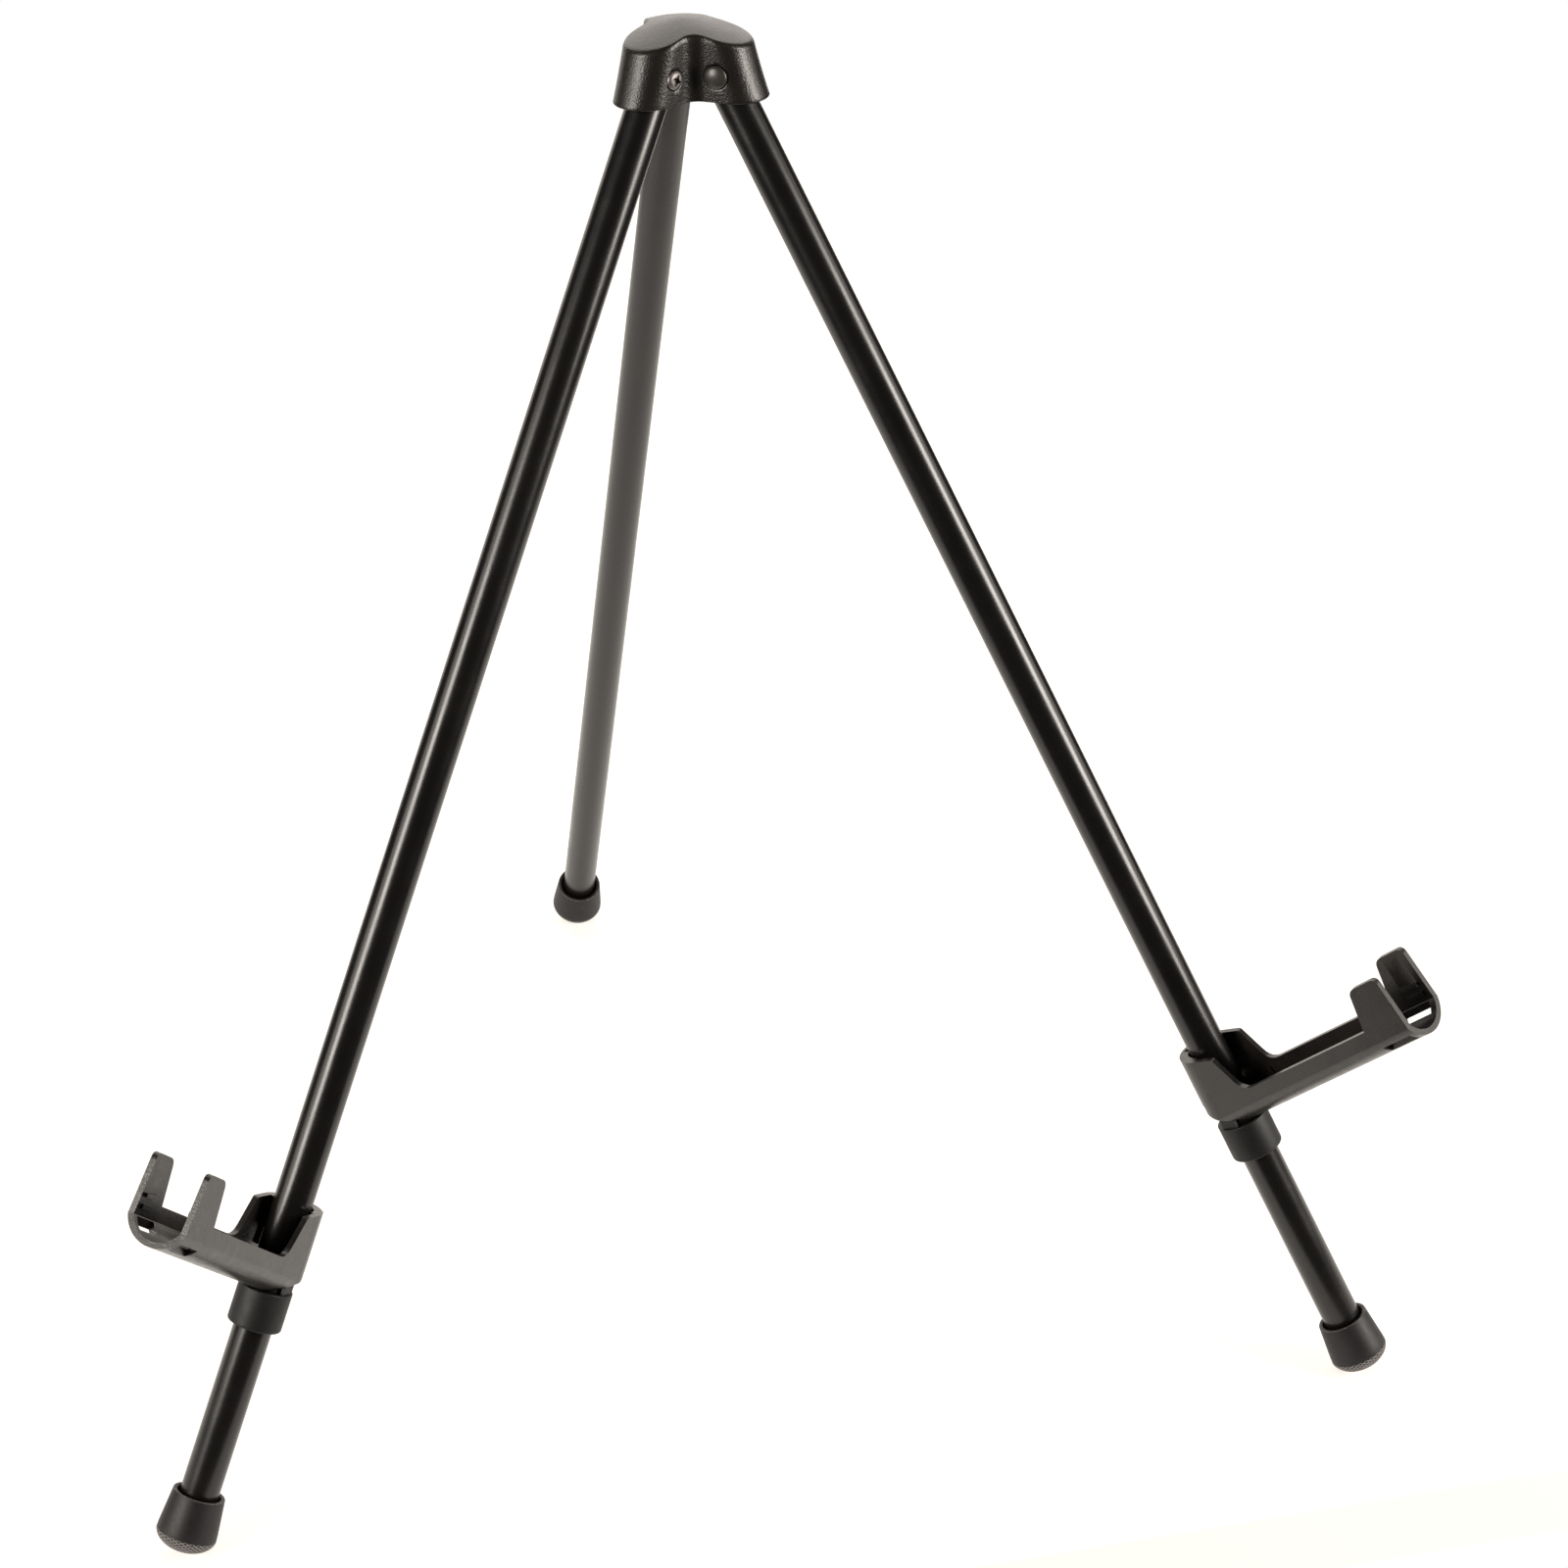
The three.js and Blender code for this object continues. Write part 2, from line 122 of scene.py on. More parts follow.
def leg_axes(side: Side) -> Axes:
    """Gives a leg's frame: the pivot, x outward, y along the pivot, z up along the leg.

    Args:
        side: which leg.

    Returns:
        The leg's frame.
    """
    fold = JOINTS[f"{side.value}_leg_fold"]
    across = Vector(fold["axis"]).normalized()
    level = across.cross(UP)
    rise = -JOINTS["left_height_slide"]["axis"][2]  # all three legs have the same slope
    along = UP * rise - level * math.sqrt(1 - rise * rise)
    return Axes(Vector(fold["pos_m"]), across.cross(along), across, along)


def collar_axes(side: Side) -> Axes:
    """Gives a slider's frame: the trunnion centre on the tube's line, x towards the arm.

    Args:
        side: which front leg.

    Returns:
        The slider's frame.
    """
    fold = JOINTS[f"{side.value}_arm_fold"]
    across = -Vector(fold["axis"]).normalized()
    along = leg_axes(side).z
    return Axes(Vector(fold["pos_m"]), across.cross(along), across, along)


def build(name: str, points: np.ndarray, faces: Sequence[Sequence[int]]) -> bpy.types.Object:
    """Makes a closed mesh with its faces outward.

    Args:
        name: the piece's name.
        points: its vertices, in millimetres.
        faces: lists of vertex numbers.

    Returns:
        The new object, still in millimetres.
    """
    mesh = bpy.data.meshes.new(name)
    mesh.from_pydata([tuple(point) for point in points], [], [tuple(face) for face in faces])
    work = bmesh.new()
    work.from_mesh(mesh)
    bmesh.ops.remove_doubles(work, verts=work.verts, dist=WELD)
    bmesh.ops.recalc_face_normals(work, faces=work.faces)
    work.to_mesh(mesh)
    work.free()
    made = bpy.data.objects.new(name, mesh)
    bpy.context.scene.collection.objects.link(made)
    return made


def stacked(name: str, rings: Sequence[np.ndarray], closed: bool = False) -> bpy.types.Object:
    """Skins a stack of rings that all have the same number of points.

    Args:
        name: the piece's name.
        rings: arrays of points, in order along the skin.
        closed: whether the last ring joins the first, as on a wall with a hole through it.

    Returns:
        The new object. Ends that do not join are closed with a face.
    """
    count = len(rings[0])
    points = np.concatenate(rings)
    faces = []
    for level in range(len(rings) if closed else len(rings) - 1):
        low = level * count
        high = (level + 1) % len(rings) * count
        for i in range(count):
            j = (i + 1) % count
            faces.append((low + i, low + j, high + j, high + i))
    if not closed:
        faces.append(range(count))
        faces.append(range(len(points) - count, len(points)))
    return build(name, points, faces)


def turned(
    name: str, profile: Profile, segments: int = 96, closed: bool = False,
) -> bpy.types.Object:
    """Turns a profile about Z.

    Args:
        name: the piece's name.
        profile: radius and height pairs.
        segments: faces round the axis.
        closed: whether the profile closes on itself, as on a ring.

    Returns:
        The new object.
    """
    angles = np.linspace(0, 2 * math.pi, segments, endpoint=False)
    rings = []
    for radius, height in profile:
        reach = max(radius, AXIS_GAP)
        flat = np.full(segments, height)
        rings.append(np.stack([reach * np.cos(angles), reach * np.sin(angles), flat], axis=1))
    return stacked(name, rings, closed)


def softened(
    corners: Sequence[tuple[float, float, float]], closed: bool = False, steps: int = 5,
) -> Profile:
    """Rounds the corners of a profile.

    Args:
        corners: radius, height and rounding of each corner.
        closed: whether the profile closes on itself.
        steps: points on each rounded corner.

    Returns:
        The rounded profile.
    """
    points = []
    for i, (r, z, rounding) in enumerate(corners):
        if rounding <= 0 or (not closed and i in (0, len(corners) - 1)):
            points.append((r, z))
            continue
        corner = Vector((r, z))
        before = (Vector(corners[i - 1][:2]) - corner).normalized() * rounding
        after = (Vector(corners[(i + 1) % len(corners)][:2]) - corner).normalized() * rounding
        for t in np.linspace(0, 1, steps):
            spot = corner + before * (1 - t) ** 2 + after * t**2
            points.append((spot.x, spot.y))
    return points


def block(name: str, size: Sequence[float], centre: Sequence[float]) -> bpy.types.Object:
    """Makes a plain block, used as a cutter, a cheek or a rib.

    Args:
        name: the block's name.
        size: its three sides.
        centre: its centre.

    Returns:
        The new object.
    """
    signs = [(-1, -1), (1, -1), (1, 1), (-1, 1)]
    rings = []
    for high in (-1, 1):
        rings.append(np.array([
            [centre[0] + sx * size[0] / 2, centre[1] + sy * size[1] / 2, centre[2] + high * size[2] / 2]
            for sx, sy in signs
        ]))
    return stacked(name, rings)


def apply_modifiers(piece: bpy.types.Object) -> None:
    """Turns a piece's modifiers into its plain mesh.

    Args:
        piece: the piece, which keeps its name and loses its modifiers.
    """
    graph = bpy.context.evaluated_depsgraph_get()
    mesh = bpy.data.meshes.new_from_object(piece.evaluated_get(graph))
    piece.modifiers.clear()
    piece.data = mesh


def carve(
    piece: bpy.types.Object, tools: Sequence[bpy.types.Object], way: str = "DIFFERENCE",
) -> None:
    """Cuts tools from a piece, or joins them to it, and removes the tools.

    Args:
        piece: the piece that changes.
        tools: the other objects, in the piece's own frame.
        way: DIFFERENCE or UNION.
    """
    for tool in tools:
        change = piece.modifiers.new("carve", "BOOLEAN")
        change.operation = way
        change.solver = "EXACT"
        change.object = tool
    apply_modifiers(piece)
    for tool in tools:
        bpy.data.objects.remove(tool)


def shade(piece: bpy.types.Object, angle: float = 34.0) -> None:
    """Shades a piece smooth, with its sharper edges left crisp.

    Args:
        piece: the piece.
        angle: the bend, in degrees, from which an edge stays crisp.
    """
    piece.data.shade_smooth()
    piece.data.set_sharp_from_angle(angle=math.radians(angle))


def settle(
    piece: bpy.types.Object,
    axes: Axes,
    body: str,
    finish: "Finish",
    nodes: Sequence[str] = (),
) -> None:
    """Puts a finished piece in the shared frame, on its body, and gives it its finish.

    Args:
        piece: the piece, in its own millimetres.
        axes: its frame.
        body: the moving body that it rides on.
        finish: its finish.
        nodes: the plain solids that it stands for.
    """
    piece.data.transform(axes.matrix())
    piece.data.materials.clear()
    piece.data.materials.append(finish.material())
    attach(piece, body)
    if nodes:
        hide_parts(*nodes)
    LOG.info("%s: %d faces, on %s", piece.name, len(piece.data.polygons), body)


def mark_highlit_edges(piece: bpy.types.Object, reach: float) -> None:
    """Stores how exposed each point is, 1 on outer edges and 0 on flats, as "edge", which masks a painted
    highlight.

    Args:
        piece: the piece, in millimetres.
        reach: how far a crest's bend counts, in millimetres.
    """
    mesh = piece.data
    count = len(mesh.vertices)
    points = np.empty(count * 3)
    mesh.vertices.foreach_get("co", points)
    points = points.reshape(-1, 3)
    normals = np.empty(count * 3)
    mesh.vertices.foreach_get("normal", normals)
    normals = normals.reshape(-1, 3)
    ends = np.empty(len(mesh.edges) * 2, dtype=np.int64)
    mesh.edges.foreach_get("vertices", ends)
    ends = ends.reshape(-1, 2)
    span = points[ends[:, 1]] - points[ends[:, 0]]
    length = np.maximum(np.linalg.norm(span, axis=1), 1e-6)
    turn = ((normals[ends[:, 1]] - normals[ends[:, 0]]) * span).sum(axis=1) / length**2
    bend = np.zeros(count)
    share = np.zeros(count)
    for column in (0, 1):
        np.add.at(bend, ends[:, column], turn)
        np.add.at(share, ends[:, column], 1)
    bend = np.clip(bend / np.maximum(share, 1) * reach, 0, 1)
    store = mesh.attributes.new("edge", "FLOAT", "POINT")
    store.data.foreach_set("value", bend.astype(np.float32))


# ---------- finishes ----------
def linear(code: str) -> tuple[float, float, float, float]:
    """Turns an sRGB hex colour into linear light.

    Args:
        code: six hex digits.

    Returns:
        Red, green, blue and an alpha of 1.
    """
    channels = [int(code[start : start + 2], 16) / 255 for start in (0, 2, 4)]
    light = [c / 12.92 if c <= 0.04045 else ((c + 0.055) / 1.055) ** 2.4 for c in channels]
    return (*light, 1.0)


def per_mm(size: float) -> float:
    """Gives the texture scale whose features are this many millimetres wide."""
    return 1 / (size * MM)


def add(
    tree: bpy.types.NodeTree, kind: str, links: dict | None = None, **settings: object,
) -> bpy.types.Node:
    """Adds a node with its settings, and links or sets its inputs.

    Args:
        tree: the node tree.
        kind: the node's type.
        links: input name or number to a socket, or to a value.
        settings: the node's own properties.

    Returns:
        The new node.
    """
    made = tree.nodes.new(kind)
    for name, value in settings.items():
        setattr(made, name, value)
    for key, source in (links or {}).items():
        if isinstance(source, bpy.types.NodeSocket):
            tree.links.new(source, made.inputs[key])
        else:
            made.inputs[key].default_value = source
    return made


def maths(
    tree: bpy.types.NodeTree, operation: str, *values: bpy.types.NodeSocket | float,
) -> bpy.types.NodeSocket:
    """Adds a Math node.

    Args:
        tree: the node tree.
        operation: what the node works out.
        values: its inputs, each a socket or a number.

    Returns:
        The node's result.
    """
    return add(tree, "ShaderNodeMath", dict(enumerate(values)), operation=operation).outputs[0]


HIGHLIGHT_GAP = 0.5  # millimetres, the size of the gaps in the painted highlight on an edge


@dataclass(frozen=True)
class Finish:
    """A coated or moulded surface: two close colours, a sheen range and a fine relief.

    Colours are sRGB hex. The widths of patches and grain and the height of the relief are
    millimetres. A finish with no edge highlight colour has no painted highlight on its edges.
    """

    title: str
    colour: str
    second: str
    patch: float
    rough_low: float
    rough_high: float
    grain: float
    relief: float
    metallic: float = 0.0
    ior: float = 1.5
    specular: float = 0.5
    edge_highlight_colour: str = ""
    glow: float = 0.0

    def material(self) -> bpy.types.Material:
        """Gives this finish's material, made once.

        Returns:
            The material.
        """
        known = bpy.data.materials.get(self.title)
        if known:
            return known
        made = bpy.data.materials.new(self.title)
        made.use_nodes = True
        tree = made.node_tree
        tree.nodes.clear()
        place = add(tree, "ShaderNodeTexCoord").outputs["Object"]
        surface = {
            "Base Color": self.tint(tree, place),
            "Roughness": self.sheen(tree, place),
            "Normal": self.texture(tree, place),
            "Metallic": self.metallic,
            "Specular IOR Level": self.specular,
            "Emission Color": linear(WARM_WHITE),
            "Emission Strength": self.glow,
        }
        if self.metallic < 1:
            surface["IOR"] = self.ior
        shader = add(tree, "ShaderNodeBsdfPrincipled", surface)
        add(tree, "ShaderNodeOutputMaterial", {"Surface": shader.outputs["BSDF"]})
        return made

    def tint(self, tree: bpy.types.NodeTree, place: bpy.types.NodeSocket) -> bpy.types.NodeSocket:
        """Mixes the two colours in soft patches, and paints a highlight on the exposed edges.

        Args:
            tree: the material's tree.
            place: object coordinates.

        Returns:
            The colour socket.
        """
        cloud = add(tree, "ShaderNodeTexNoise", {
            "Vector": place, "Scale": per_mm(self.patch), "Detail": 4.0,
        })
        share = add(tree, "ShaderNodeMapRange", {0: cloud.outputs[0], 1: 0.32, 2: 0.68}, clamp=True)
        mix = add(tree, "ShaderNodeMix", {
            0: share.outputs[0], 6: linear(self.colour), 7: linear(self.second),
        }, data_type="RGBA")
        if not self.edge_highlight_colour:
            return mix.outputs[2]
        # Painted highlight: the exposed edges are lightened towards the edge highlight colour, broken up
        # by fine specks.
        edge = add(tree, "ShaderNodeAttribute", attribute_name="edge").outputs["Fac"]
        specks = add(tree, "ShaderNodeTexNoise", {
            "Vector": place, "Scale": per_mm(HIGHLIGHT_GAP), "Detail": 3.0,
        })
        broken = maths(tree, "MULTIPLY", edge, specks.outputs[0])
        painted_highlight = add(tree, "ShaderNodeMapRange", {0: broken, 1: 0.08, 2: 0.34}, clamp=True)
        last = add(tree, "ShaderNodeMix", {
            0: painted_highlight.outputs[0], 6: mix.outputs[2], 7: linear(self.edge_highlight_colour),
        }, data_type="RGBA")
        return last.outputs[2]

    def sheen(self, tree: bpy.types.NodeTree, place: bpy.types.NodeSocket) -> bpy.types.NodeSocket:
        """Varies the roughness between its two limits, at the scale of handling marks.

        Args:
            tree: the material's tree.
            place: object coordinates.

        Returns:
            The roughness socket.
        """
        smear = add(tree, "ShaderNodeTexNoise", {
            "Vector": place, "Scale": per_mm(self.patch * 0.4), "Detail": 5.0, "Roughness": 0.6,
        })
        span = add(tree, "ShaderNodeMapRange", {
            0: smear.outputs[0], 1: 0.3, 2: 0.7, 3: self.rough_low, 4: self.rough_high,
        }, clamp=True)
        return span.outputs[0]

    def texture(self, tree: bpy.types.NodeTree, place: bpy.types.NodeSocket) -> bpy.types.NodeSocket:
        """Raises the fine relief of the surface.

        Args:
            tree: the material's tree.
            place: object coordinates.

        Returns:
            The normal socket.
        """
        grain = add(tree, "ShaderNodeTexNoise", {
            "Vector": place, "Scale": per_mm(self.grain), "Detail": 2.0,
        })
        bump = add(tree, "ShaderNodeBump", {
            "Height": grain.outputs[0], "Strength": 1.0, "Distance": self.relief * MM,
        })
        return bump.outputs[0]


@dataclass(frozen=True)
class SparkErodedPlastic(Finish):
    """Filled nylon moulded in a spark-eroded tool: a fine pebble, with pale specks on its crests."""

    speck: str = "35322f"

    def tint(self, tree: bpy.types.NodeTree, place: bpy.types.NodeSocket) -> bpy.types.NodeSocket:
        """Adds fine pale specks to the mottled ground.

        Args:
            tree: the material's tree.
            place: object coordinates.

        Returns:
            The colour socket.
        """
        ground = super().tint(tree, place)
        cells = add(tree, "ShaderNodeTexVoronoi", {"Vector": place, "Scale": per_mm(self.grain * 1.6)})
        near = add(tree, "ShaderNodeMapRange", {
            0: cells.outputs["Distance"], 1: 0.0, 2: 0.3, 3: 0.3, 4: 0.0,
        }, clamp=True)
        mix = add(tree, "ShaderNodeMix", {
            0: near.outputs[0], 6: ground, 7: linear(self.speck),
        }, data_type="RGBA")
        return mix.outputs[2]

    def texture(self, tree: bpy.types.NodeTree, place: bpy.types.NodeSocket) -> bpy.types.NodeSocket:
        """Raises two sizes of pebble.

        Args:
            tree: the material's tree.
            place: object coordinates.

        Returns:
            The normal socket.
        """
        coarse = add(tree, "ShaderNodeTexNoise", {
            "Vector": place, "Scale": per_mm(self.grain * 2.5), "Detail": 3.0,
        })
        first = add(tree, "ShaderNodeBump", {"Height": coarse.outputs[0], "Distance": self.relief * MM})
        fine = add(tree, "ShaderNodeTexVoronoi", {"Vector": place, "Scale": per_mm(self.grain)})
        second = add(tree, "ShaderNodeBump", {
            "Height": fine.outputs["Distance"],
            "Distance": self.relief * 0.6 * MM,
            "Normal": first.outputs[0],
        })
        return second.outputs[0]


# Semi-gloss black enamel on drawn steel tube: near black with a warm cast, one long soft highlight
# and a very slight orange peel that barely breaks the highlight's edge.
TUBE_ENAMEL = Finish(
    "semi-gloss enamel on drawn steel tube", "0d0b0a", "110f0d", 26, 0.22, 0.29, 1.6, 0.005,
)
# Gloss black enamel sprayed on a drawn cap: warm black, with an orange peel of half a millimetre
# that breaks the highlight up where it crosses a tight curve.
CAP_ENAMEL = Finish(
    "gloss enamel on deep-drawn steel", "15110e", "1a1613", 14, 0.3, 0.38, 0.5, 0.09,
)
# Dark grey satin coat on a turned barrel nut.
BARREL_COAT = Finish(
    "satin coat on turned steel", "3a3835", "454340", 3, 0.28, 0.36, 0.5, 0.01, metallic=0.35,
)
# Dull zinc plate on a cold-headed screw: a soft grey metal with faint clouding.
ZINC_PLATE = Finish(
    "dull zinc plate on cold-headed steel", "8f8a89", "7a7675", 2, 0.45, 0.58, 0.3, 0.01, metallic=1.0,
)
# Dark filled nylon from a spark-eroded mould: a low gloss over a fine pebble, so that the walls
# pale where they are seen at a shallow angle.
ARM_PLASTIC = SparkErodedPlastic(
    "filled nylon moulded in a spark-eroded tool", "181614", "201d1b", 6, 0.26, 0.36, 0.34, 0.03,
)
# Black nylon moulded in a polished tool: worn to a dull satin, with a faint flow mottle.
COLLAR_NYLON = Finish(
    "black nylon moulded in a polished tool", "0c0c0c", "121212", 5, 0.5, 0.58, 0.8, 0.012, specular=0.35,
)
# Plain black nylon inside the head and the collars, seldom seen.
HIDDEN_NYLON = Finish(
    "plain black nylon", "121111", "181717", 5, 0.5, 0.6, 0.6, 0.02,
)
# Compression-moulded rubber: dull and soft edged, with a painted highlight on its rims and on its net.
TIP_RUBBER = Finish(
    "compression-moulded rubber", "0f0d0e", "161415", 3, 0.46, 0.56, 0.35, 0.02,
    specular=0.35, edge_highlight_colour="7d7977",
)
# Bright mild steel washer, blanked and deburred.
WASHER_STEEL = Finish(
    "blanked mild steel", "9a9794", "85827f", 2, 0.3, 0.45, 0.3, 0.01, metallic=1.0,
)
# Opal acrylic shooting table, lit evenly from below: pale, matt and almost without shadows.
TABLE = Finish("opal acrylic lit from below", "a2a2a1", "9e9e9d", 300, 0.85, 0.95, 2.0, 0.01, glow=0.8)


# ---------- head ----------
@dataclass
class HeadCap:
    """The deep-drawn cap: three round-ended lobes joined by hollow valleys, under a domed top."""

    below_pivot: float = 6.4
    crown: float = 11.88
    tip_fall: float = 4.8
    tip_low: float = 21.7
    tip_high: float = 18.0
    lobe_half: float = 7.6
    valley_radius: float = 5.0
    wall: float = 1.5
    lip: float = 0.45
    shoulder: float = 1.3
    shoulder_draw: float = 0.075
    pivot_radius: float = 11.2
    screw_hole: float = 2.55
    barrel_hole: float = 3.0
    hole_flare: float = 0.35
    flank_clearance: float = 0.03  # keeps a cutter's corner out of the flank's own plane

    def azimuths(self) -> list[float]:
        """Gives the three lobes' directions, in order round the axis."""
        levels = [leg_axes(side).y.cross(UP) for side in Side]
        return sorted(math.atan2(level.y, level.x) for level in levels)

    def axes(self) -> Axes:
        """Gives the head's frame, on its centre line at the height of the pivots.

        Returns:
            The head's frame.
        """
        rear = leg_axes(Side.REAR)
        level = rear.y.cross(UP)
        middle = rear.origin - level * self.pivot_radius * MM
        return Axes(middle, Vector((1, 0, 0)), Vector((0, 1, 0)), UP)

    def plan(self, reach: float, inset: float) -> np.ndarray:
        """Draws the cap's plan at one level.

        Args:
            reach: how far the lobes' tips stand from the axis.
            inset: how far the plan is drawn in on every side.

        Returns:
            The outline's points.
        """
        half = self.lobe_half - inset
        hollow = self.valley_radius + inset
        lobes = self.azimuths()
        points = []
        for i, azimuth in enumerate(lobes):
            following = lobes[(i + 1) % 3] + (2 * math.pi if i == 2 else 0)
            opening = (following - azimuth) / 2
            tip = reach - inset - half
            for angle in np.linspace(azimuth - math.pi / 2, azimuth + math.pi / 2, 40):
                points.append((
                    tip * math.cos(azimuth) + half * math.cos(angle),
                    tip * math.sin(azimuth) + half * math.sin(angle),
                ))
            middle = azimuth + opening
            far = (half + hollow) / math.sin(opening)
            start = azimuth - math.pi / 2
            stop = following + math.pi / 2 - 2 * math.pi
            valley = [
                (
                    far * math.cos(middle) + hollow * math.cos(angle),
                    far * math.sin(middle) + hollow * math.sin(angle),
                )
                for angle in np.linspace(start, stop, 20)
            ]
            flank = np.linspace(points[-1], valley[0], 6)[1:-1]
            points.extend(tuple(spot) for spot in flank)
            points.extend(valley)
            next_start = following - math.pi / 2
            landing = (
                tip * math.cos(following) + half * math.cos(next_start),
                tip * math.sin(following) + half * math.sin(next_start),
            )
            points.extend(tuple(spot) for spot in np.linspace(valley[-1], landing, 6)[1:-1])
        return np.array(points)

    def level(self, reach: float, inset: float, scale: float, height: Height) -> np.ndarray:
        """Places a plan at its height, which may vary over the plan.

        Args:
            reach: how far the lobes' tips stand from the axis.
            inset: how far the plan is drawn in on every side.
            scale: the plan's size beside the full one.
            height: gives the height for a distance from the axis.

        Returns:
            One ring of points.
        """
        flat = self.plan(reach, inset) * scale
        radius = np.linalg.norm(flat, axis=1)
        return np.column_stack([flat, height(radius)])

    def dome(self, drop: float) -> Height:
        """Gives the height of the domed top, less a drop, for a distance from the axis."""
        return lambda radius: self.crown - self.tip_fall * (radius / self.tip_high) ** 1.5 - drop

    def skin(self, inset: float) -> list[np.ndarray]:
        """Stacks the rings of the outer skin, or of the inner one where it is inset.

        Args:
            inset: the wall's thickness on the inner skin, and 0 on the outer one.

        Returns:
            Rings from the lip up to the crown.
        """
        bottom = -self.below_pivot
        rings = []
        for turn in np.linspace(0, 1, 4):
            lift = self.lip * (1 - math.cos(turn * math.pi / 2))
            drawn = self.lip * (1 - math.sin(turn * math.pi / 2))
            rings.append(self.level(
                self.tip_low - drawn, inset, 1, lambda r, z=bottom + lift: z + 0 * r,
            ))
        wall_top = self.dome(self.shoulder + inset)
        for share in np.linspace(0.08, 1, 12):
            reach = self.tip_low + (self.tip_high - self.tip_low) * share
            low = bottom + self.lip
            rings.append(self.level(
                reach, inset, 1, lambda r, s=share, z=low: z + (wall_top(r) - z) * s,
            ))
        for turn in np.linspace(0.12, 1, 8):
            angle = turn * math.pi / 2
            scale = 1 - self.shoulder_draw * (1 - math.cos(angle))
            fall = self.shoulder * (1 - math.sin(angle)) + inset
            rings.append(self.level(self.tip_high, inset, scale, self.dome(fall)))
        for scale in np.linspace(0.87, 0.02, 16):
            rings.append(self.level(self.tip_high, inset, scale, self.dome(inset)))
        return rings

    def hole(self, axes: Axes, radius: float, side: int) -> bpy.types.Object:
        """Makes a cutter for a rolled-edge hole through one flank of a lobe.

        Args:
            axes: the leg's frame.
            radius: the hole's radius.
            side: 1 for the screw's flank and -1 for the barrel's.

        Returns:
            The cutter, in the head's own frame.
        """
        face = self.lobe_half + self.flank_clearance
        flare = self.hole_flare
        profile = [(0, 1), (radius, 1), (radius, face - flare)]
        for turn in np.linspace(0, 1, 5)[1:]:
            profile.append((
                radius + flare * (1 - math.cos(turn * math.pi / 2)),
                face - flare + flare * math.sin(turn * math.pi / 2),
            ))
        profile += [(radius + flare, face + 2), (0, face + 2)]
        cutter = turned("hole_cutter", profile, 48)
        level = axes.y.cross(UP)
        shape = Axes(axes.origin, level, UP.copy(), axes.y * side)
        cutter.data.transform(self.axes().matrix().inverted() @ shape.matrix())
        # On the barrel's flank the cutter is a mirror image, so its faces are turned outward again.
        work = bmesh.new()
        work.from_mesh(cutter.data)
        bmesh.ops.recalc_face_normals(work, faces=work.faces)
        work.to_mesh(cutter.data)
        work.free()
        return cutter

    def make(self) -> None:
        """Builds the cap and dresses it."""
        outer = self.skin(0)
        inner = self.skin(self.wall)
        shell = stacked("head_shell", inner[::-1] + outer)
        cutters = []
        for side in Side:
            axes = leg_axes(side)
            cutters.append(self.hole(axes, self.screw_hole, 1))
            cutters.append(self.hole(axes, self.barrel_hole, -1))
        carve(shell, cutters)
        shade(shell, 40)
        settle(shell, self.axes(), "head", CAP_ENAMEL, ["head_cap"])


@dataclass
class BindingPost:
    """The domed barrel and the cross-recess screw that hold one leg in its lobe."""

    side: Side
    face: float = 7.6
    wall: float = 1.6
    barrel: float = 2.2
    barrel_head: float = 2.9
    barrel_rim: float = 0.2
    barrel_dome: float = 1.05
    proud: float = 0.15
    thread_depth: float = -2.5
    screw_head: float = 2.4
    screw_crown: float = 1.25
    shank: float = 1.2
    recess_span: float = 2.7
    recess_width: float = 0.7
    recess_depth: float = 1.3

    def axes(self) -> Axes:
        """Gives the post's frame, with z along the pivot towards the screw."""
        leg = leg_axes(self.side)
        return Axes(leg.origin, leg.x, -leg.z, leg.y)

    def make(self) -> None:
        """Builds the barrel and the screw, and dresses them."""
        seat = -self.face - self.proud
        end = self.face - self.wall + 0.9
        bore = self.shank + 0.3
        dome = [
            (
                self.barrel_head * math.sin(turn),
                seat - self.barrel_rim - self.barrel_dome * math.cos(turn),
            )
            for turn in np.linspace(0, math.pi / 2, 10)
        ]
        barrel = turned(f"{self.side.value}_barrel", [
            *dome, (self.barrel_head, seat), (self.barrel, seat), (self.barrel, end),
            (bore, end), (bore, self.thread_depth), (0, self.thread_depth),
        ], 64)
        shade(barrel)
        head = f"{self.side.value}_pivot_barrel"
        settle(barrel, self.axes(), "head", BARREL_COAT, [head])
        self.make_screw()

    def make_screw(self) -> None:
        """Builds the screw, with its cross recess."""
        seat = self.face - self.wall + 1.2
        screw = turned(f"{self.side.value}_screw", softened([
            (0, -2, 0), (self.shank, -1.6, 0), (self.shank, seat, 0), (self.screw_head, seat, 0.1),
            (self.screw_head, seat + 0.6, 0.3), (1.7, seat + 1.15, 0.4), (0, seat + self.screw_crown, 0),
        ]), 64)
        top = seat + self.screw_crown
        height = 2 * self.recess_depth
        slots = [
            block("slot_cutter", (self.recess_span, self.recess_width, height), (0, 0, top)),
            block("slot_cutter", (self.recess_width, self.recess_span, height), (0, 0, top)),
            turned("slot_cutter", [(0, top - 1.5), (0.85, top - 0.6), (0.95, top + 1), (0, top + 1)], 24),
        ]
        carve(screw, slots)
        shade(screw)
        node = f"{self.side.value}_pivot_screw"
        settle(screw, self.axes(), "head", ZINC_PLATE, [node])


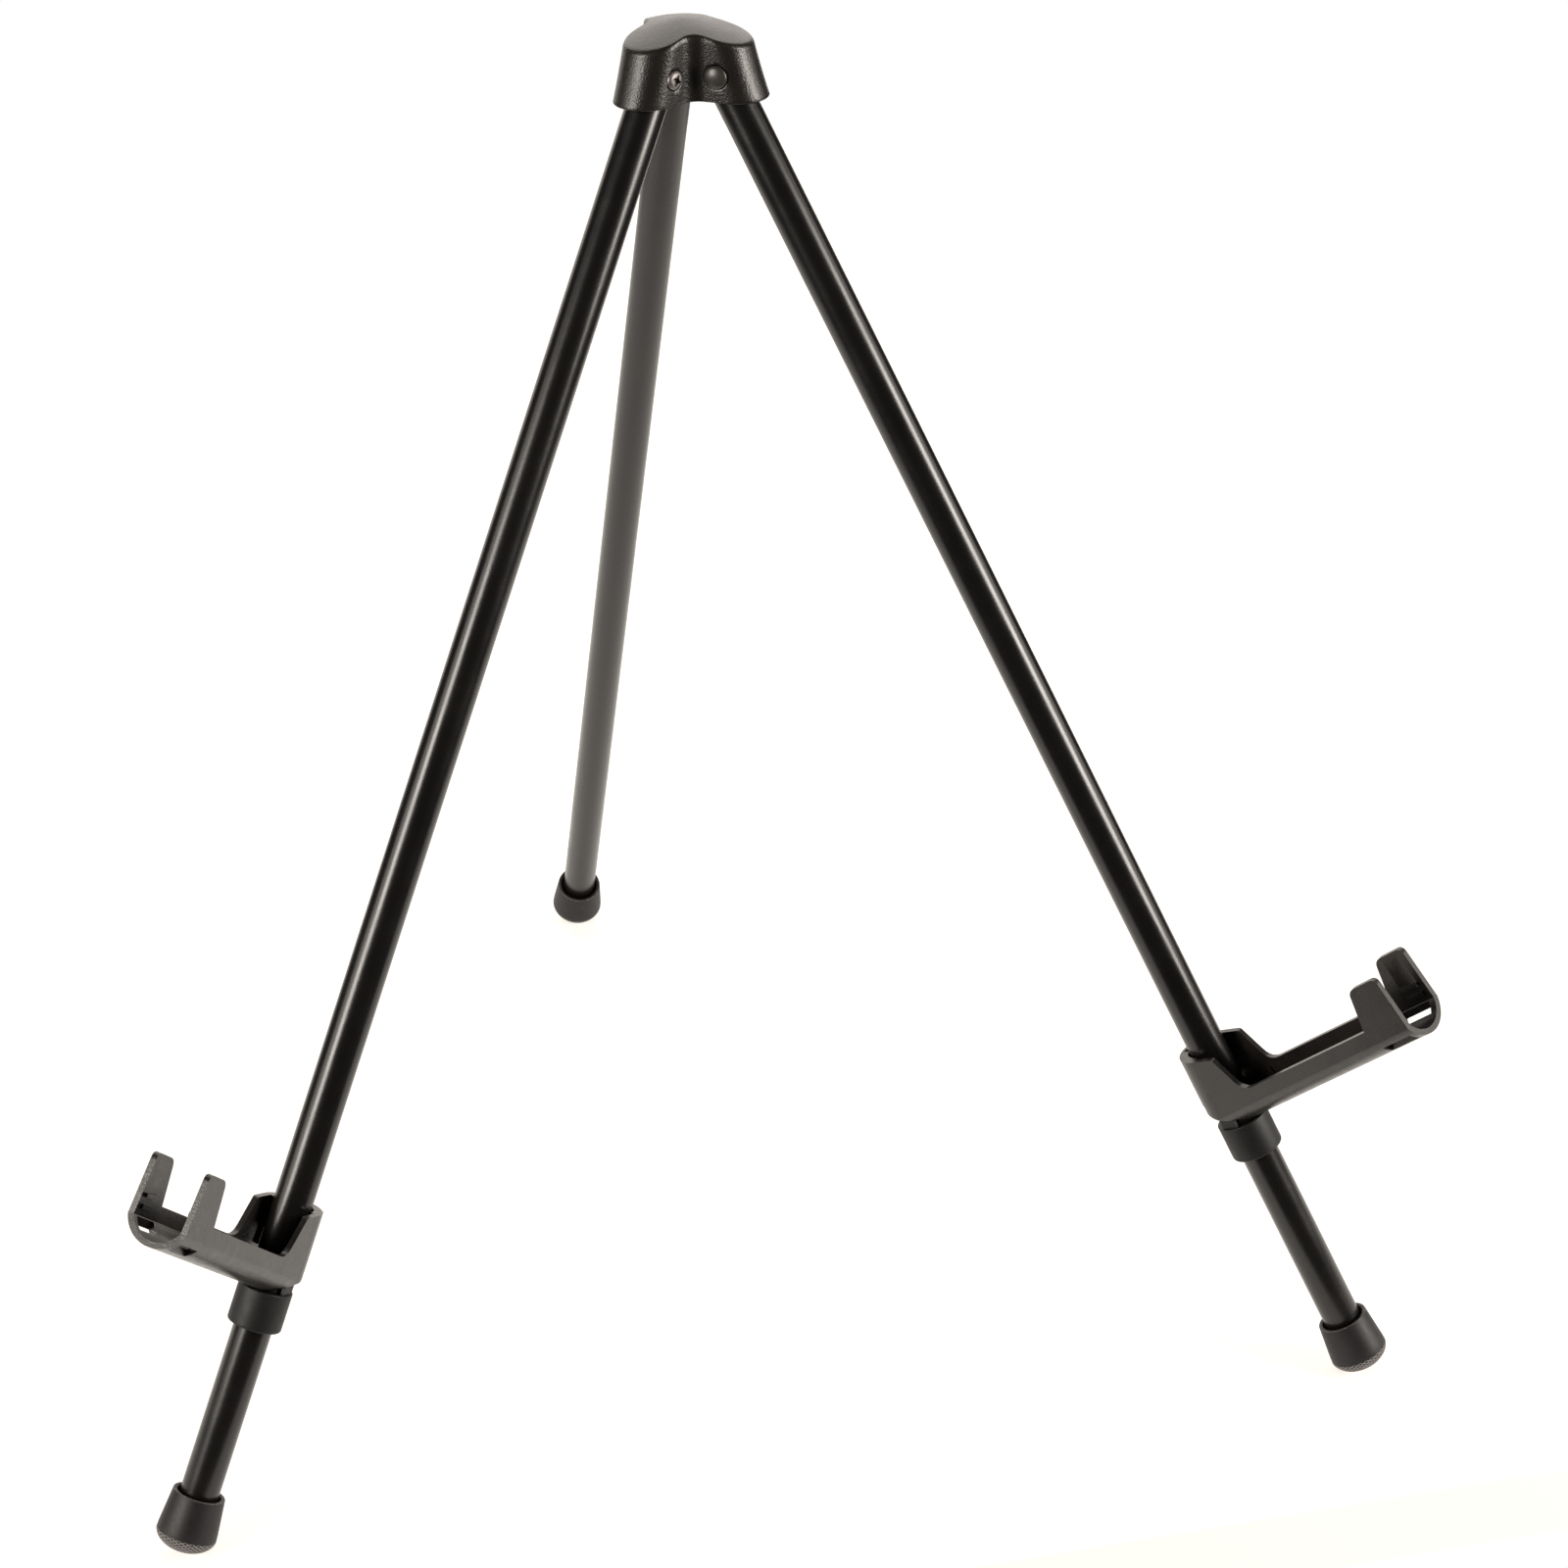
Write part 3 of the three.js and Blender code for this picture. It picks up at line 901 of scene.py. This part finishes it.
# ---------- legs ----------
@dataclass
class Leg:
    """One leg: the enamelled tube, its rubber tip with a netted sole, and the pieces inside."""

    side: Side
    radius: float = 5.0
    wall: float = 1.0
    top: float = -4.5
    mouth_drop: float = 370.9
    in_tip: float = 11.0
    offset: float = 1.54
    mouth_radius: float = 6.75
    wide_radius: float = 7.75
    wide_drop: float = 10.7
    dome: float = 4.68
    bore: float = 5.3
    washer_room: float = 1.4
    ridges: int = 27
    ridge_size: float = 0.12
    ridge_sides: int = 6
    ridge_twist: float = 1.5
    ridge_first: float = 0.28
    ridge_run: float = 1.24
    ridge_points: int = 30
    # How far the painted highlight reaches on the tip's rims and on its net's ridges, in millimetres.
    tip_highlight_reach: float = 0.18
    net_highlight_reach: float = 0.3

    @property
    def body(self) -> str:
        """The leg's moving body."""
        return f"{self.side.value}_leg"

    def axes(self) -> Axes:
        """Gives the frame on the tube's own centre line, level with the pivot."""
        return leg_axes(self.side).shifted(x=-self.offset)

    def make(self) -> None:
        """Builds the leg and dresses it."""
        self.make_tube()
        self.make_tip()
        self.make_net()
        knuckle = frame["nodes"][f"{self.side.value}_leg_knuckle"]
        washer = frame["nodes"][f"{self.side.value}_tip_washer"]
        dress(knuckle, HIDDEN_NYLON)
        dress(washer, WASHER_STEEL)

    def make_tube(self) -> None:
        """Builds the tube, with its ends deburred."""
        low = -self.mouth_drop - self.in_tip
        inner = self.radius - self.wall
        tube = turned(f"{self.side.value}_tube", softened([
            (inner, low, 0.2), (self.radius, low, 0.3),
            (self.radius, self.top, 0.35), (inner, self.top, 0.3),
        ], closed=True), 128, closed=True)
        shade(tube)
        node = f"{self.side.value}_leg_tube"
        settle(tube, self.axes(), self.body, TUBE_ENAMEL, [node])

    def make_tip(self) -> None:
        """Builds the rubber tip, measured from its mouth."""
        sole = [
            (self.wide_radius * math.sin(turn), -self.wide_drop - self.dome * math.cos(turn))
            for turn in np.linspace(0, math.pi / 2, 24)
        ]
        floor = -self.in_tip - self.washer_room
        skirt = softened([
            (self.wide_radius, -self.wide_drop - 0.1, 0), (self.wide_radius, -self.wide_drop + 0.9, 0.5),
            (self.mouth_radius, 0, 0.3), (5.75, -0.05, 0.35), (self.bore, -2.4, 0.5),
            (self.bore, floor, 0), (0, floor, 0),
        ])
        tip = turned(f"{self.side.value}_tip", [*sole[:-1], *skirt], 96)
        # The tip's rims are marked for the painted highlight.
        mark_highlit_edges(tip, self.tip_highlight_reach)
        shade(tip)
        node = f"{self.side.value}_rubber_tip"
        settle(tip, self.axes().shifted(z=-self.mouth_drop), self.body, TIP_RUBBER, [node])

    def net_tree(self) -> bpy.types.NodeTree:
        """Builds the rule for the sole's net: two families of spirals swept with a round ridge.

        Returns:
            The node tree, with its sizes as named inputs.
        """
        known = bpy.data.node_groups.get("sole_net")
        if known:
            return known
        tree = bpy.data.node_groups.new("sole_net", "GeometryNodeTree")
        sizes = {
            "Ridges": ("NodeSocketInt", self.ridges),
            "Ridge radius": ("NodeSocketFloat", self.ridge_size),
            "Dome radius": ("NodeSocketFloat", self.wide_radius),
            "Dome depth": ("NodeSocketFloat", self.dome),
            "Drop": ("NodeSocketFloat", self.wide_drop),
            "Twist": ("NodeSocketFloat", self.ridge_twist),
        }
        for name, (kind, value) in sizes.items():
            tree.interface.new_socket(name, in_out="INPUT", socket_type=kind).default_value = value
        tree.interface.new_socket("Rubber", in_out="INPUT", socket_type="NodeSocketMaterial")
        tree.interface.new_socket("Net", in_out="OUTPUT", socket_type="NodeSocketGeometry")
        given = add(tree, "NodeGroupInput").outputs
        line = add(tree, "GeometryNodeCurvePrimitiveLine").outputs[0]
        smooth = add(tree, "GeometryNodeResampleCurve", {
            "Curve": line, "Count": self.ridge_points,
        }).outputs[0]
        twice = maths(tree, "MULTIPLY", given["Ridges"], 2.0)
        copies = add(tree, "GeometryNodeDuplicateElements", {
            "Geometry": smooth, "Amount": twice,
        }, domain="SPLINE")
        # Even copies wind one way and odd ones the other; each pair starts from the same place.
        number = copies.outputs["Duplicate Index"]
        odd = maths(tree, "MODULO", number, 2.0)
        hand = maths(tree, "MULTIPLY_ADD", odd, 2.0, -1.0)
        pair = maths(tree, "MULTIPLY", number, 0.5)
        which = maths(tree, "FLOOR", pair)
        share = maths(tree, "DIVIDE", which, given["Ridges"])
        start = maths(tree, "MULTIPLY", share, 2 * math.pi)
        along = add(tree, "GeometryNodeSplineParameter").outputs["Factor"]
        turn = maths(tree, "MULTIPLY", along, given["Twist"])
        angle = maths(tree, "MULTIPLY_ADD", turn, hand, start)
        # The ridge runs from near the middle of the dome out to its rim.
        polar = maths(tree, "MULTIPLY_ADD", along, self.ridge_run, self.ridge_first)
        sine = maths(tree, "SINE", polar)
        cosine = maths(tree, "COSINE", polar)
        reach = maths(tree, "MULTIPLY", sine, given["Dome radius"])
        fall = maths(tree, "MULTIPLY_ADD", cosine, given["Dome depth"], given["Drop"])
        down = maths(tree, "MULTIPLY", fall, -1.0)
        east = maths(tree, "COSINE", angle)
        north = maths(tree, "SINE", angle)
        x = maths(tree, "MULTIPLY", east, reach)
        y = maths(tree, "MULTIPLY", north, reach)
        spot = add(tree, "ShaderNodeCombineXYZ", {"X": x, "Y": y, "Z": down}).outputs[0]
        spirals = add(tree, "GeometryNodeSetPosition", {
            "Geometry": copies.outputs[0], "Position": spot,
        }).outputs[0]
        round_bar = add(tree, "GeometryNodeCurvePrimitiveCircle", {
            "Resolution": self.ridge_sides, "Radius": given["Ridge radius"],
        }).outputs[0]
        swept = add(tree, "GeometryNodeCurveToMesh", {
            "Curve": spirals, "Profile Curve": round_bar, "Fill Caps": True,
        }).outputs[0]
        solid = add(tree, "GeometryNodeRealizeInstances", {0: swept}).outputs[0]
        painted = add(tree, "GeometryNodeSetMaterial", {
            "Geometry": solid, "Material": given["Rubber"],
        }).outputs[0]
        add(tree, "NodeGroupOutput", {0: painted})
        return tree

    def make_net(self) -> None:
        """Runs the net's rule for this tip and keeps the result as a plain mesh."""
        net = build(f"{self.side.value}_sole_net", np.zeros((0, 3)), [])
        rule = net.modifiers.new("net", "NODES")
        rule.node_group = self.net_tree()
        names = {socket.name: socket.identifier for socket in rule.node_group.interface.items_tree}
        rule[names["Ridges"]] = self.ridges
        rule[names["Ridge radius"]] = self.ridge_size
        rule[names["Rubber"]] = TIP_RUBBER.material()
        apply_modifiers(net)
        # The net's thin ridges are all marked, so the whole net takes the painted highlight.
        mark_highlit_edges(net, self.net_highlight_reach)
        shade(net, 60)
        settle(net, self.axes().shifted(z=-self.mouth_drop), self.body, TIP_RUBBER)


def dress(node: bpy.types.Object, finish: Finish) -> None:
    """Gives a carried-over solid its finish.

    Args:
        node: the solid.
        finish: its finish.
    """
    node.data.materials.clear()
    node.data.materials.append(finish.material())


# ---------- sliders ----------
@dataclass
class SliderCollar:
    """The black collar that grips a front leg, and the cheeks that carry the arm's trunnions."""

    side: Side
    top: float = -5.9
    bottom: float = -16.3
    radius: float = 7.0
    tube: float = 5.0
    bush: float = 5.85
    trunnion: float = 1.5
    tube_gap: float = 0.35
    cheek: tuple[float, float, float] = (4.6, 0.8, 6.9)
    cheek_offset: float = 5.8
    stub_offset: float = 6.5

    def make(self) -> None:
        """Builds the collar and dresses it."""
        inner = self.tube + self.tube_gap
        collar = turned(f"{self.side.value}_collar", softened([
            (inner, self.bottom, 0.15), (self.radius, self.bottom, 0.75),
            (self.radius, self.top, 0.35), (self.bush, self.top, 0.25),
            (self.bush, self.bottom + 1, 0), (inner, self.bottom + 1, 0),
        ], closed=True, steps=6), 128, closed=True)
        parts = []
        for hand in (-1, 1):
            hang = -self.cheek[2] / 2
            parts.append(block("cheek", self.cheek, (0, hand * self.cheek_offset, hang)))
            stub = turned("stub", [(0, -1.0), (self.trunnion, -1.0), (self.trunnion, 0.7), (0, 0.7)], 32)
            turn = Matrix.Rotation(math.radians(-90 * hand), 4, "X")
            stub.data.transform(Matrix.Translation((0, hand * self.stub_offset, 0)) @ turn)
            parts.append(stub)
        carve(collar, parts, "UNION")
        shade(collar)
        node = f"{self.side.value}_slider_collar"
        body = f"{self.side.value}_collar"
        settle(collar, collar_axes(self.side), body, COLLAR_NYLON, [node])
        dress(frame["nodes"][f"{self.side.value}_friction_bush"], HIDDEN_NYLON)


@dataclass
class HolderArm:
    """The moulded holder arm: its own solid with ribs and ledges inside, and its edges rounded.

    Angles are degrees.
    """

    side: Side
    raised: float = 15.7
    edge: float = 0.25
    edge_steps: int = 3
    edge_bend: float = 28
    crisp_bend: float = 13
    flat_bend: float = 1
    weld: float = 1e-3
    rib: tuple[float, float, float] = (1.0, 0.9, 5.0)
    rib_place: tuple[float, float, float] = (11.5, 6.25, -1.4)
    ledge: tuple[float, float, float] = (5.6, 1.2, 1.1)
    ledge_place: tuple[float, float, float] = (68.2, 6.4, 1.0)

    def axes(self) -> Axes:
        """Gives the arm's own frame: x along the arm, z out of its open side.

        Returns:
            The arm's frame.
        """
        slider = collar_axes(self.side)
        cos = math.cos(math.radians(self.raised))
        sin = math.sin(math.radians(self.raised))
        return Axes(
            slider.origin, slider.x * cos + slider.z * sin, slider.y, slider.z * cos - slider.x * sin,
        )

    def pair(
        self, name: str, size: Sequence[float], place: Sequence[float],
    ) -> list[bpy.types.Object]:
        """Makes a block on each side of the arm.

        Args:
            name: the blocks' name.
            size: their three sides.
            place: the centre of the one on the positive side.

        Returns:
            The two blocks.
        """
        along, across, up = place
        return [block(name, size, (along, hand * across, up)) for hand in (-1, 1)]

    def make(self) -> None:
        """Builds the arm and dresses it."""
        node = f"{self.side.value}_holder_arm"
        work = bmesh.new()
        work.from_mesh(frame["nodes"][node].data)
        bmesh.ops.transform(work, matrix=self.axes().matrix().inverted(), verts=work.verts)
        bmesh.ops.remove_doubles(work, verts=work.verts, dist=self.weld)
        bmesh.ops.dissolve_limit(
            work, angle_limit=math.radians(self.flat_bend), verts=work.verts, edges=work.edges,
        )
        mesh = bpy.data.meshes.new(f"{self.side.value}_arm")
        work.to_mesh(mesh)
        work.free()
        arm = bpy.data.objects.new(mesh.name, mesh)
        bpy.context.scene.collection.objects.link(arm)
        ribs = self.pair("rib", self.rib, self.rib_place)
        ledges = self.pair("ledge", self.ledge, self.ledge_place)
        carve(arm, [*ribs, *ledges], "UNION")
        shade(arm, self.crisp_bend)
        edge = arm.modifiers.new("edge", "BEVEL")
        edge.width = self.edge
        edge.segments = self.edge_steps
        edge.limit_method = "ANGLE"
        edge.angle_limit = math.radians(self.edge_bend)
        edge.harden_normals = True
        apply_modifiers(arm)
        body = f"{self.side.value}_arm"
        settle(arm, self.axes(), body, ARM_PLASTIC, [node])


# ---------- studio ----------
def direction(azimuth: float, elevation: float) -> Vector:
    """Gives a direction away from the easel.

    Args:
        azimuth: degrees round from the front, positive to the right.
        elevation: degrees above the level.

    Returns:
        A unit vector.
    """
    turn = math.radians(azimuth)
    rise = math.radians(elevation)
    return Vector((math.sin(turn) * math.cos(rise), -math.cos(turn) * math.cos(rise), math.sin(rise)))


@dataclass(frozen=True)
class Softbox:
    """A rectangular soft light that faces a point: degrees, then metres, then watts."""

    name: str
    azimuth: float
    elevation: float
    distance: float
    width: float
    height: float
    power: float

    def make(self, target: Vector) -> None:
        """Hangs the light.

        Args:
            target: the point that it faces, in metres.
        """
        away = direction(self.azimuth, self.elevation)
        lamp = bpy.data.lights.new(self.name, "AREA")
        lamp.shape = "RECTANGLE"
        lamp.size = self.width
        lamp.size_y = self.height
        lamp.energy = self.power
        lamp.color = linear(WARM_WHITE)[:3]
        hung = bpy.data.objects.new(self.name, lamp)
        hung.location = target + away * self.distance
        hung.rotation_mode = "QUATERNION"
        hung.rotation_quaternion = away.to_track_quat("Z", "Y")
        bpy.context.scene.collection.objects.link(hung)


@dataclass
class Studio:
    """The pale table, the soft lights and the camera.

    Angles are degrees, and the other sizes are millimetres.
    """

    azimuth: float = -13.73
    elevation: float = 27.47
    roll: float = -0.26
    lens: float = 84.45
    stand: tuple[float, float, float] = (-185.3, -887.04, 601.0)
    table: tuple[float, float] = (1000.0, 1190.0)
    table_front: float = -190.0
    table_thick: float = 20.0
    dim: float = 0.05

    def boxes(self) -> list[Softbox]:
        """Lists the soft lights."""
        return [
            Softbox("left_box", -60, 16, 1.3, 0.38, 0.6, 12.0),
            Softbox("left_fill", -76, 15, 1.35, 0.8, 0.8, 5.5),
            Softbox("right_box", 57, 15, 1.3, 0.42, 0.6, 17.0),
            Softbox("right_fill", 76, 14, 1.35, 0.8, 0.7, 4.0),
            Softbox("back_box", 175, 46, 1.6, 2.2, 1.7, 28),
            Softbox("back_sweep", 180, 4, 2.4, 4.0, 1.3, 22),
        ]

    def make(self) -> None:
        """Sets up the studio."""
        self.make_camera()
        middle = (CAD_BOX[0] + CAD_BOX[1]) / 2
        for box in self.boxes():
            box.make(middle)
        width, depth = self.table
        centre = (0, self.table_front + depth / 2, -self.table_thick / 2)
        floor = block("table_top", (width, depth, self.table_thick), centre)
        floor.data.transform(Matrix.Scale(MM, 4))
        floor.data.materials.append(TABLE.material())
        self.make_world()

    def make_camera(self) -> None:
        """Places the camera."""
        back = direction(self.azimuth, self.elevation)
        turn = math.radians(self.azimuth)
        right = Vector((math.cos(turn), math.sin(turn), 0))
        high = back.cross(right)
        lean = math.radians(self.roll)
        x = right * math.cos(lean) + high * math.sin(lean)
        y = high * math.cos(lean) - right * math.sin(lean)
        lens = bpy.data.cameras.new("camera")
        lens.lens = self.lens
        lens.sensor_width = 36
        lens.clip_start = 0.05
        lens.clip_end = 20
        camera = bpy.data.objects.new("camera", lens)
        facing = Matrix((x, y, back)).transposed().to_4x4()
        camera.matrix_world = Matrix.Translation(Vector(self.stand) * MM) @ facing
        bpy.context.scene.collection.objects.link(camera)
        bpy.context.scene.camera = camera

    def make_world(self) -> None:
        """Makes the studio's walls pale to the eye and dim to everything else."""
        world = bpy.data.worlds.new("studio")
        world.use_nodes = True
        tree = world.node_tree
        tree.nodes.clear()
        seen = add(tree, "ShaderNodeLightPath").outputs["Is Camera Ray"]
        power = add(tree, "ShaderNodeMapRange", {0: seen, 3: self.dim, 4: 1.0}).outputs[0]
        glow = add(tree, "ShaderNodeBackground", {"Color": linear("ffffff"), "Strength": power})
        add(tree, "ShaderNodeOutputWorld", {"Surface": glow.outputs[0]})
        bpy.context.scene.world = world
        bpy.context.scene.view_settings.view_transform = "Standard"


def main() -> None:
    """Builds the studio and then every sub-assembly."""
    logging.basicConfig(level=logging.INFO, format="%(name)s %(message)s")
    Studio().make()
    HeadCap().make()
    for side in Side:
        BindingPost(side).make()
        Leg(side).make()
    for side in FRONT:
        SliderCollar(side).make()
        HolderArm(side).make()


if __name__ == "__main__":
    main()
